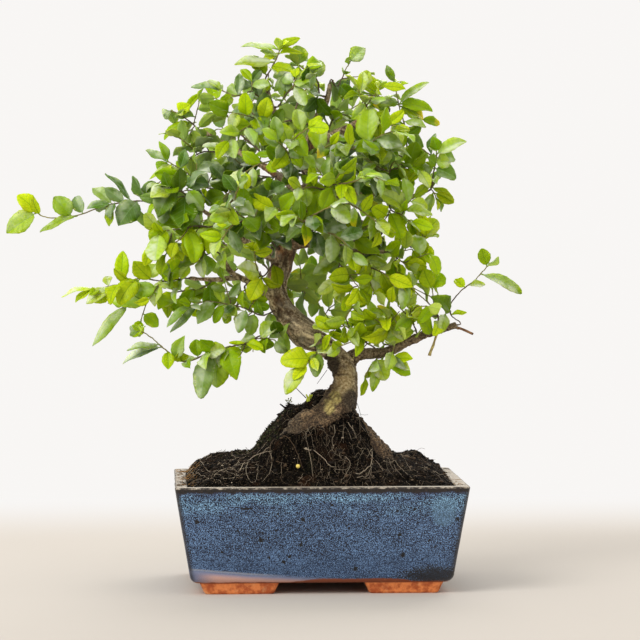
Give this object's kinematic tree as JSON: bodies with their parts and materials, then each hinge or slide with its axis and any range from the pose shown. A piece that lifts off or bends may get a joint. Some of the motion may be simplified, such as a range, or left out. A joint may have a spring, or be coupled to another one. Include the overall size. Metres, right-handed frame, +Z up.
{
  "type": "sageretia bonsai tree in a glazed pot",
  "caption": "Small bonsai tree with a twisted trunk, flared roots and toothed oval leaves, heaped in soil in a tapered rectangular blue glazed pot on bare clay feet.",
  "frame": {"origin": "middle of the whole plant's footprint box, at the level of the surface that the pot stands on", "axes": "+Z up, +X to the right along the pot's long side, +Y towards the back, away from the front"},
  "size_m": [0.358, 0.215, 0.3811],
  "materials": {
    "glazed_stoneware": "mottled blue gloss glaze, bare terracotta feet",
    "screen_plastic": "matt black",
    "soil": "dark fibrous peat",
    "bark": "flaky grey-brown bark",
    "leaf_young": "satin, bright yellow-green",
    "leaf_fresh": "satin, mid green",
    "leaf_mature": "satin, dark green with a bluish sheen"
  },
  "bodies": {
    "root": {"pot": "glazed_stoneware", "drainage_screen_left": "screen_plastic", "drainage_screen_right": "screen_plastic", "soil": "soil", "trunk": "bark", "spray_left_long": "leaf_mature", "spray_left_crest": "leaf_fresh", "spray_left_face": "leaf_mature", "spray_left_hollow": "leaf_fresh", "spray_left_arm": "leaf_young", "spray_left_arm_low": "leaf_fresh", "spray_left_thread": "leaf_mature", "spray_left_skirt": "leaf_fresh", "spray_low_left": "leaf_fresh", "spray_left_elbow": "leaf_fresh", "spray_pale_leaf": "leaf_mature", "spray_front_left": "leaf_mature", "spray_front_low": "leaf_mature", "spray_front_mid": "leaf_fresh", "spray_front_high": "leaf_fresh", "spray_crown_tip_left": "leaf_young", "spray_crown_middle": "leaf_fresh", "spray_lone_leaf": "leaf_fresh", "spray_crown_back_left": "leaf_mature", "spray_crown_left": "leaf_fresh", "spray_crown_front": "leaf_fresh", "spray_crown_lift": "leaf_fresh", "spray_left_shoulder": "leaf_fresh", "spray_left_high_tip": "leaf_fresh", "spray_left_inner": "leaf_mature", "spray_right_spire": "leaf_fresh", "spray_right_flag": "leaf_fresh", "spray_right_heart": "leaf_young", "spray_right_crown": "leaf_young", "spray_right_face": "leaf_fresh", "spray_right_inner": "leaf_fresh", "spray_right_wing": "leaf_fresh", "spray_right_breast": "leaf_mature", "spray_right_fall": "leaf_fresh", "spray_right_knot_tip": "leaf_young", "spray_right_knot_under": "leaf_fresh", "spray_right_low_tip": "leaf_fresh", "spray_right_skirt": "leaf_young", "spray_right_curtain": "leaf_fresh", "spray_right_middle": "leaf_young", "spray_right_long": "leaf_young", "spray_right_rise": "leaf_fresh", "spray_right_bed": "leaf_young", "spray_right_bed_inner": "leaf_young", "spray_right_bed_back": "leaf_fresh", "spray_right_bed_trunk": "leaf_fresh", "spray_right_under": "leaf_fresh", "spray_trunk_leaves": "leaf_young", "spray_back_high": "leaf_fresh", "spray_back_top": "leaf_fresh", "spray_back_left": "leaf_mature", "spray_back_right": "leaf_fresh", "spray_back_low_left": "leaf_fresh", "spray_back_low_right": "leaf_fresh", "spray_back_under": "leaf_fresh"}
  },
  "joints": []
}
